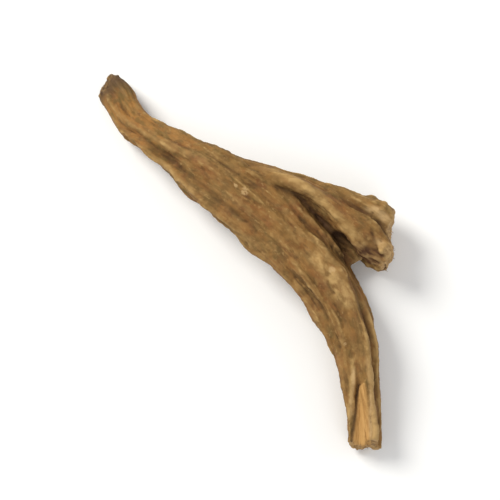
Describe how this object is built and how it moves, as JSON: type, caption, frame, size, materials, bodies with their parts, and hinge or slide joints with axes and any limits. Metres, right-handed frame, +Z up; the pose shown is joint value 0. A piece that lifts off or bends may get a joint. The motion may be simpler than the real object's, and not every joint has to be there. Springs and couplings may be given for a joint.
{
  "type": "dried root piece",
  "caption": "Dried forked root: a ridged stem that bends down to a thin split tip, with a thick side limb torn open at its end.",
  "frame": {"origin": "middle of the footprint, on the surface that the root lies on", "axes": "+X from the crown to the tip of the lower limb, +Y towards the torn side limb, +Z up"},
  "size_m": [0.1028, 0.0386, 0.0158],
  "materials": {
    "bark": "dull ochre-brown bark, matt, dusty"
  },
  "bodies": {
    "root": {"costus_root": "bark"}
  },
  "joints": []
}
